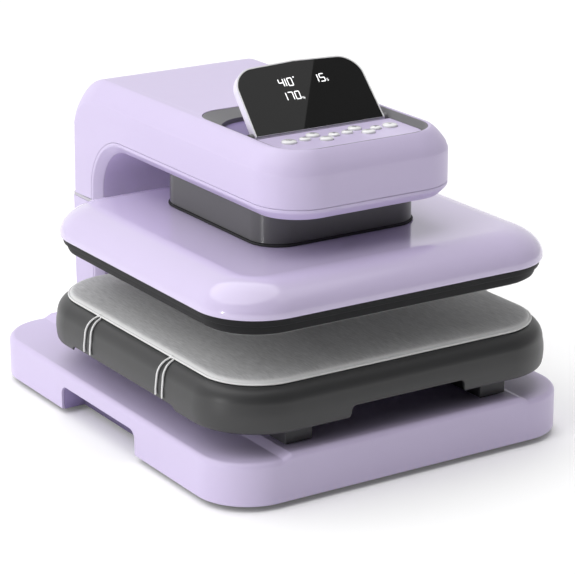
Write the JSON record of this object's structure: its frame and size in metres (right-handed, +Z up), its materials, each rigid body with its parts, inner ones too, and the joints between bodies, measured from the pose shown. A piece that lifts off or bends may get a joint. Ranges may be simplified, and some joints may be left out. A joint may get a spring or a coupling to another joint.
{
  "type": "heat press",
  "caption": "Countertop heat press: a motor-driven upper platen comes down from an arm onto a padded pull-out lower tray; tilting display and push buttons.",
  "frame": {"origin": "on the floor under the middle of the base", "axes": "+Z up, -Y towards the front where the display and the tray's finger recess are, +X to the right seen from the front"},
  "size_m": [0.4274, 0.5106, 0.386],
  "materials": {
    "lilac_plastic": "smooth moulded plastic with a soft gloss",
    "dark_plastic": "satin moulded plastic with a fine texture",
    "black_plastic": "satin black",
    "grey_plastic": "satin",
    "white_plastic": "glossy",
    "black_steel": "black powder coat",
    "steel": "zinc-plated or ground steel",
    "bronze": "turned bronze",
    "aluminium_plate": "non-stick coated",
    "insulation": "pressed mineral board",
    "circuit_board": "solder mask",
    "felt_pad": "silicone foam pad with a brushed grey cloth face and a pale binding",
    "black_rubber": "matte",
    "white_elastic": "covered elastic cord",
    "nylon": "moulded",
    "black_glass": "polished black glass"
  },
  "bodies": {
    "base": {"base_shell": "lilac_plastic", "base_plate": "black_steel", "foot_front_left": "black_rubber", "foot_front_right": "black_rubber", "foot_rear_left": "black_rubber", "foot_rear_right": "black_rubber", "slide_rail_left": "steel", "slide_rail_right": "steel", "frame_side_left": "steel", "frame_side_right": "steel", "frame_back_plate": "steel", "head_plate": "steel", "control_board": "circuit_board", "guide_bush_left": "bronze", "guide_bush_right": "bronze", "lift_motor": "black_steel", "arm_shell": "lilac_plastic", "column_shell": "lilac_plastic", "seam_strip": "grey_plastic", "throat_liner": "lilac_plastic", "well_liner": "dark_plastic", "button_deck": "lilac_plastic", "display_hinge_pin": "steel", "mains_inlet": "black_plastic"},
    "tray": {"tray_housing": "dark_plastic", "tray_plate": "steel", "press_pad": "felt_pad", "tray_runner_left": "black_plastic", "tray_runner_right": "black_plastic", "pad_loop_front_left": "white_elastic", "pad_loop_rear_left": "white_elastic", "pad_loop_front_right": "white_elastic", "pad_loop_rear_right": "white_elastic"},
    "platen": {"platen_cover": "lilac_plastic", "platen_band": "black_plastic", "heating_plate": "aluminium_plate", "insulation_board": "insulation", "platen_carrier": "steel", "lift_nut": "bronze", "sleeve_flange": "black_rubber", "sleeve": "dark_plastic", "guide_rod_left": "steel", "guide_rod_right": "steel"},
    "screw": {"lift_screw": "steel", "screw_gear": "nylon"},
    "pinion": {"motor_pinion": "steel"},
    "display": {"display_housing": "lilac_plastic", "display_glass": "black_glass", "display_board": "circuit_board"},
    "power_key": {"power_button": "white_plastic"},
    "temperature_left_key": {"temperature_left_button": "white_plastic"},
    "temperature_right_key": {"temperature_right_button": "white_plastic"},
    "time_left_key": {"time_left_button": "white_plastic"},
    "time_right_key": {"time_right_button": "white_plastic"},
    "temperature_up_key": {"temperature_up_button": "white_plastic"},
    "temperature_down_key": {"temperature_down_button": "white_plastic"},
    "time_up_key": {"time_up_button": "white_plastic"},
    "time_down_key": {"time_down_button": "white_plastic"},
    "start_key": {"start_button": "white_plastic"},
    "rocker": {"power_rocker": "black_plastic"}
  },
  "joints": [
    {"name": "platen_press", "type": "slide", "parent": "base", "child": "platen", "axis": [0, 0, -1], "range_m": [0, 0.045]},
    {"name": "screw_turn", "type": "hinge", "parent": "base", "child": "screw", "pos_m": [0, -0.045, 0.3], "axis": [0, 0, 1], "range_deg": [0, 1621]},
    {"name": "pinion_turn", "type": "hinge", "parent": "base", "child": "pinion", "pos_m": [0, -0.0091, 0.3], "axis": [0, 0, 1], "range_deg": [-6484, 0]},
    {"name": "tray_draw", "type": "slide", "parent": "base", "child": "tray", "axis": [0, -1, 0], "range_m": [0, 0.15]},
    {"name": "display_tilt", "type": "hinge", "parent": "base", "child": "display", "pos_m": [0, -0.08657, 0.3261], "axis": [1, 0, 0], "range_deg": [-47.5, 12.5]},
    {"name": "temperature_left_key_press", "type": "slide", "parent": "base", "child": "temperature_left_key", "axis": [0, 0, -1], "range_m": [0, 0.0008], "stiffness_N_per_m": 400, "springref_m": -0.0003},
    {"name": "temperature_right_key_press", "type": "slide", "parent": "base", "child": "temperature_right_key", "axis": [0, 0, -1], "range_m": [0, 0.0008], "stiffness_N_per_m": 400, "springref_m": -0.0003},
    {"name": "time_left_key_press", "type": "slide", "parent": "base", "child": "time_left_key", "axis": [0, 0, -1], "range_m": [0, 0.0008], "stiffness_N_per_m": 400, "springref_m": -0.0003},
    {"name": "time_right_key_press", "type": "slide", "parent": "base", "child": "time_right_key", "axis": [0, 0, -1], "range_m": [0, 0.0008], "stiffness_N_per_m": 400, "springref_m": -0.0003},
    {"name": "power_key_press", "type": "slide", "parent": "base", "child": "power_key", "axis": [0, 0, -1], "range_m": [0, 0.0008], "stiffness_N_per_m": 400, "springref_m": -0.0003},
    {"name": "temperature_up_key_press", "type": "slide", "parent": "base", "child": "temperature_up_key", "axis": [0, 0, -1], "range_m": [0, 0.0008], "stiffness_N_per_m": 400, "springref_m": -0.0003},
    {"name": "temperature_down_key_press", "type": "slide", "parent": "base", "child": "temperature_down_key", "axis": [0, 0, -1], "range_m": [0, 0.0008], "stiffness_N_per_m": 400, "springref_m": -0.0003},
    {"name": "time_up_key_press", "type": "slide", "parent": "base", "child": "time_up_key", "axis": [0, 0, -1], "range_m": [0, 0.0008], "stiffness_N_per_m": 400, "springref_m": -0.0003},
    {"name": "time_down_key_press", "type": "slide", "parent": "base", "child": "time_down_key", "axis": [0, 0, -1], "range_m": [0, 0.0008], "stiffness_N_per_m": 400, "springref_m": -0.0003},
    {"name": "start_key_press", "type": "slide", "parent": "base", "child": "start_key", "axis": [0, 0, -1], "range_m": [0, 0.0008], "stiffness_N_per_m": 400, "springref_m": -0.0003},
    {"name": "rocker_switch", "type": "hinge", "parent": "base", "child": "rocker", "pos_m": [-0.06, 0.242, 0.12], "axis": [1, 0, 0], "range_deg": [0, 16]}
  ],
  "couplings": [
    {"joint": "screw_turn", "follows": "platen_press", "rad_per_m": 628.32},
    {"joint": "pinion_turn", "follows": "platen_press", "rad_per_m": -2513.3}
  ]
}
